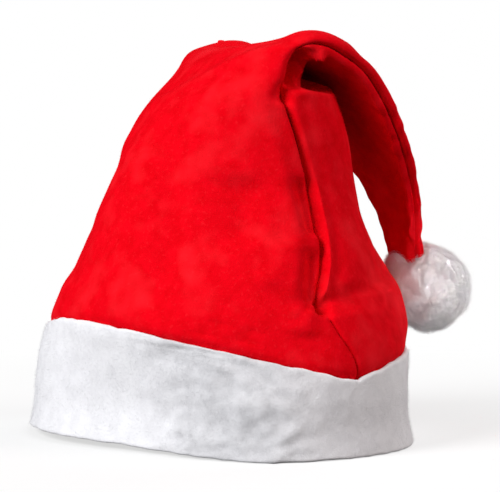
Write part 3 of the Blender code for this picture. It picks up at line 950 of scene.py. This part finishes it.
class SANTAHAT_OT_seams(bpy.types.Operator):
    """Seam allowances inside the crown, and the stitches that close the seams and hold the band"""

    bl_idname = "santahat.seams"
    bl_label = "Seams and stitches"

    def execute(self, context):
        settings = context.scene.santa_hat
        felt, detail, colours = settings.felt, settings.detail, settings.colours
        shift = place_of_hat(felt)
        turn = full_turns()
        wall = felt.crown_felt / MM
        along, _, inside = felt_surfaces(felt, turn, wall, crown_detail)
        inward = -outward_normals(inside)
        tree, found = stitch_tree()
        thread = strand_material("red thread", (colours.red_dark, colours.red), 0.3, 900.0)
        pale_thread = strand_material("white thread", (colours.white_dark, colours.white), 0.3, 900.0)
        sizes = {"Pitch": detail.stitch_pitch, "Stitch Length": detail.stitch_length}
        sizes["Thread"] = detail.thread
        for name, column in (("near", 0), ("far", PANEL_COLUMNS)):
            rows = slice(int(felt.band_height_at_seam / MM) + 1, int(HAT_LENGTH) - TIP_WITHOUT_ALLOWANCE)
            heading = inward[rows, column]
            edge = inside[rows, column] - heading * wall * ALLOWANCE_IN_WALL
            across = np.cross(heading, np.gradient(edge, axis=0))
            across /= np.linalg.norm(across, axis=-1, keepdims=True)
            room = np.clip((HAT_LENGTH - along[rows]) / ALLOWANCE_NARROWS_OVER, NARROWEST_ALLOWANCE, 1)
            depth = room[:, None] * SEAM_ALLOWANCE
            side = across * SEAM_ALLOWANCE_THICK / 2
            inner = edge + heading * depth
            notch = edge + heading * depth * ALLOWANCE_NOTCH
            tube = np.stack([edge - side, edge + side, inner + side, notch, inner - side], axis=1)
            piece_name = f"seam_allowance_{name}"
            allowance = add_object(piece_name, closed_tube_mesh(piece_name, tube, shift))
            finish_piece(allowance, material=red_felt(colours))
            for face, sign in (("a", -1), ("b", 1)):
                from_seam = np.minimum(STITCH_FROM_SEAM, depth * STITCH_IN_ALLOWANCE)
                line = edge + side * sign + heading * from_seam
                row = path_mesh("stitch line", line[::2], shift)
                row_name = f"seam_stitches_{name}_{face}"
                stitches = grown(row_name, row, tree, found, {**sizes, "Material": thread})
                finish_piece(stitches)
        wanted = np.repeat(join_height(felt, turn)[None, :] - JOIN_STITCHES_BELOW, 2, axis=0)
        along, _, inside = felt_surfaces(felt, turn, felt.band_felt / MM, band_detail)
        row = path_mesh("join line", at_distances(along, inside, wanted)[0], shift)
        stitches = grown("join_stitches", row, tree, found, {**sizes, "Material": pale_thread})
        finish_piece(stitches)
        return {"FINISHED"}


def closed_tube_mesh(name, tube, shift):
    """A tube of any section, closed at both ends, with its faces outwards."""
    rows, columns = tube.shape[:2]
    faces = grid_faces(rows, columns, 0, True, False).tolist()
    faces.append(list(range(columns))[::-1])
    faces.append([(rows - 1) * columns + j for j in range(columns)])
    mesh = new_mesh(name, (tube + shift).reshape(-1, 3), [], faces)
    made = bmesh.new()
    made.from_mesh(mesh)
    bmesh.ops.recalc_face_normals(made, faces=made.faces)
    made.to_mesh(mesh)
    made.free()
    return mesh


class SANTAHAT_OT_pile(bpy.types.Operator):
    """Loose fibres on the red felt and the brushed pile of the band"""

    bl_idname = "santahat.pile"
    bl_label = "Felt pile"

    def execute(self, context):
        settings = context.scene.santa_hat
        felt, detail, colours = settings.felt, settings.detail, settings.colours
        shift = place_of_hat(felt)
        red = strand_material("red fibre", (colours.red_dark, colours.red), 0.05, 400.0)
        white = strand_material("white fibre", (colours.white, colours.white_bright), 0.2, 400.0)
        for seed, side in enumerate(("front", "back")):
            outside, _ = panel_grids(felt, side)
            columns = slice(SKIN_COLUMNS_LEFT_OUT, -SKIN_COLUMNS_LEFT_OUT)
            skin = skin_mesh("crown skin", outside[SKIN_ROWS_LEFT_OUT:, columns], shift)
            count, length = detail.crown_strands, detail.crown_pile
            grow_pile(f"crown_{side}_fibres", skin, CROWN_PILE, count, length, seed, red)
        turn = full_turns()
        along, outside, _ = felt_surfaces(felt, turn, felt.band_felt / MM, band_detail)
        low, high = band_edges(felt, turn, outside)
        low, high = low + BAND_PILE_OVER_RIM, high - BAND_PILE_UNDER_JOIN
        outside = at_distances(along, outside, low + (high - low) * crowded(BAND_ROWS, 0)[:, None])
        skin = skin_mesh("band skin", outside, shift)
        count, length = detail.band_strands, detail.band_pile
        grow_pile("band_pile", skin, BAND_PILE, count, length, BAND_PILE_SEED, white)
        return {"FINISHED"}


class SANTAHAT_OT_pompom(bpy.types.Operator):
    """Pompom of tufted yarn on the end of the crown"""

    bl_idname = "santahat.pompom"
    bl_label = "Yarn pompom"

    def execute(self, context):
        settings = context.scene.santa_hat
        detail, colours = settings.detail, settings.colours
        low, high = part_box("pompom")
        centre = (low + high) / 2
        yarn = strand_material("pompom yarn", (colours.yarn_dark, colours.yarn), 0.0, 150.0)
        made = bmesh.new()
        bmesh.ops.create_icosphere(made, subdivisions=POMPOM_SUBDIVISIONS, radius=detail.pompom_radius)
        for vert in made.verts:
            direction = vert.co.normalized()
            tufts = POMPOM_WAVE * noise.noise(direction * POMPOM_WAVE_SCALE + POMPOM_WAVE_START)
            apart = noise.voronoi(direction * TUFT_SCALE + TUFT_START)[0][0]
            tufts += TUFT_RISE - TUFT_DROP * apart**2
            across = max(-1.0, min(1.0, direction.x / TAIL_SPREAD.x))
            apart = (direction - Vector((TAIL_SPREAD.x * across, TAIL_SPREAD.y, TAIL_SPREAD.z))).length
            over_tail = 1 - min(1.0, max(0.0, (apart - OVER_TAIL_NEAR) / OVER_TAIL_EASE))
            vert.co += direction * (tufts * detail.pompom_tufts + OVER_TAIL * MM * over_tail)
        bmesh.ops.translate(made, verts=made.verts, vec=centre)
        mesh = bpy.data.meshes.new("pompom_core")
        made.to_mesh(mesh)
        made.free()
        mesh.shade_smooth()
        core = add_object("pompom_core", mesh)
        layers = (("under", POMPOM_PILE_UNDER, UNDER_LENGTH), ("over", POMPOM_PILE_OVER, 1.0))
        for step, (layer, pile, share) in enumerate(layers):
            count, length = detail.pompom_strands, detail.pompom_pile * share
            seed = POMPOM_PILE_SEED + step
            grow_pile(f"pompom_pile_{layer}", mesh.copy(), pile, count, length, seed, yarn)
        finish_piece(core, "pompom", yarn)
        return {"FINISHED"}


def floor_material():
    """A plain white floor that brightens with distance into the background, and throws little light up."""
    material, tree, shader, place = new_material("white floor")
    shader.inputs["Base Color"].default_value = FLOOR_WHITE
    shader.inputs["Roughness"].default_value = 0.9
    shader.inputs["Specular IOR Level"].default_value = 0.1
    far = add_node(tree, "ShaderNodeVectorMath", {0: place}, operation="LENGTH").outputs["Value"]
    share = ranged(tree, far, FLOOR_WHITENS_FROM, FLOOR_WHITE_AT, FLOOR_GLOW_UNDER_HAT, 1.0)
    glow = add_node(tree, "ShaderNodeEmission", {"Color": WHITE, "Strength": 1.0}).outputs[0]
    shown = add_node(tree, "ShaderNodeMixShader", {0: share, 1: shader.outputs[0], 2: glow}).outputs[0]
    dull = add_node(tree, "ShaderNodeBsdfDiffuse", {"Color": FLOOR_DULL}).outputs[0]
    seen = add_node(tree, "ShaderNodeLightPath").outputs["Is Camera Ray"]
    both = add_node(tree, "ShaderNodeMixShader", {0: seen, 1: dull, 2: shown}).outputs[0]
    tree.links.new(both, tree.nodes["Material Output"].inputs["Surface"])
    return material


def white_world(strength):
    """A white background, which lights the hat less than it shows."""
    world = bpy.data.worlds.new("white studio")
    world.use_nodes = True
    tree = world.node_tree
    tree.nodes.clear()
    shown = add_node(tree, "ShaderNodeBackground", {"Color": WHITE, "Strength": 1.0}).outputs[0]
    light = add_node(tree, "ShaderNodeBackground", {"Color": WHITE, "Strength": strength}).outputs[0]
    seen = add_node(tree, "ShaderNodeLightPath").outputs["Is Camera Ray"]
    both = add_node(tree, "ShaderNodeMixShader", {0: seen, 1: light, 2: shown}).outputs[0]
    add_node(tree, "ShaderNodeOutputWorld", {"Surface": both})
    return world


def add_area_light(light, power, place, target):
    """One of LIGHTS, turned to what it aims at."""
    data = bpy.data.lights.new(light.name, "AREA")
    data.energy = power
    data.shape = "DISK"
    data.size = light.size
    data.color = light.colour
    data.spread = math.radians(light.spread)
    lamp = add_object(light.name, data)
    lamp.location = place
    lamp.rotation_euler = (target - place).to_track_quat("-Z", "Y").to_euler()


def round_the_hat(azimuth, distance, height, middle):
    """A point round the hat: azimuth 0 is in front, at -Y, and it grows towards +X."""
    level = Vector((math.sin(azimuth), -math.cos(azimuth), 0)) * distance
    return middle + level + Vector((0, 0, height))


class SANTAHAT_OT_stage(bpy.types.Operator):
    """Floor, background, lights and camera"""

    bl_idname = "santahat.stage"
    bl_label = "Stage"

    def execute(self, context):
        stage = context.scene.santa_hat.stage
        low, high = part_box("brim_band")
        middle = Vector(((low.x + high.x) / 2, (low.y + high.y) / 2, 0))
        made = bmesh.new()
        bmesh.ops.create_grid(made, x_segments=1, y_segments=1, size=FLOOR_REACH)
        mesh = bpy.data.meshes.new("floor")
        made.to_mesh(mesh)
        made.free()
        mesh.materials.append(floor_material())
        add_object("floor", mesh)
        context.scene.world = white_world(stage.sky_light)
        context.scene.view_settings.view_transform = "Standard"
        azimuth = stage.view_azimuth
        aim = middle + Vector((math.cos(azimuth), math.sin(azimuth), 0)) * stage.aim_right
        aim += Vector((0, 0, stage.aim_height))
        low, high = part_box("pompom")
        targets = {"hat": aim, "pompom": (low + high) / 2}
        for light in LIGHTS:
            turn = azimuth + math.radians(light.turn)
            place = round_the_hat(turn, light.distance, light.height, middle)
            add_area_light(light, getattr(stage, light.setting), place, targets[light.aim])
        data = bpy.data.cameras.new("camera")
        data.lens = stage.lens
        camera = add_object("camera", data)
        camera.location = round_the_hat(azimuth, stage.view_distance, stage.view_height, middle)
        camera.rotation_euler = (aim - camera.location).to_track_quat("-Z", "Y").to_euler()
        context.scene.camera = camera
        return {"FINISHED"}


class SANTAHAT_PT_panel(bpy.types.Panel):
    """Builds the hat's pieces one after another"""

    bl_label = "Santa Hat"
    bl_idname = "SANTAHAT_PT_panel"
    bl_space_type = "VIEW_3D"
    bl_region_type = "UI"
    bl_category = "Santa Hat"

    def draw(self, context):
        settings = context.scene.santa_hat
        for group in (settings.felt, settings.colours, settings.detail, settings.stage):
            box = self.layout.box()
            for name in group.__annotations__:
                box.prop(group, name)
        for operator in OPERATORS:
            self.layout.operator(operator.bl_idname)


OPERATORS = (
    SANTAHAT_OT_stage,
    SANTAHAT_OT_crown,
    SANTAHAT_OT_band,
    SANTAHAT_OT_seams,
    SANTAHAT_OT_pile,
    SANTAHAT_OT_pompom,
)
CLASSES = (
    SantaHatFelt,
    SantaHatColours,
    SantaHatDetail,
    SantaHatStage,
    SantaHatSettings,
    *OPERATORS,
    SANTAHAT_PT_panel,
)


def register():
    for cls in CLASSES:
        bpy.utils.register_class(cls)
    bpy.types.Scene.santa_hat = PointerProperty(type=SantaHatSettings)


def unregister():
    del bpy.types.Scene.santa_hat
    for cls in reversed(CLASSES):
        bpy.utils.unregister_class(cls)


def main():
    register()
    for operator in OPERATORS:
        group, name = operator.bl_idname.split(".")
        getattr(getattr(bpy.ops, group), name)()


if __name__ == "__main__":
    main()
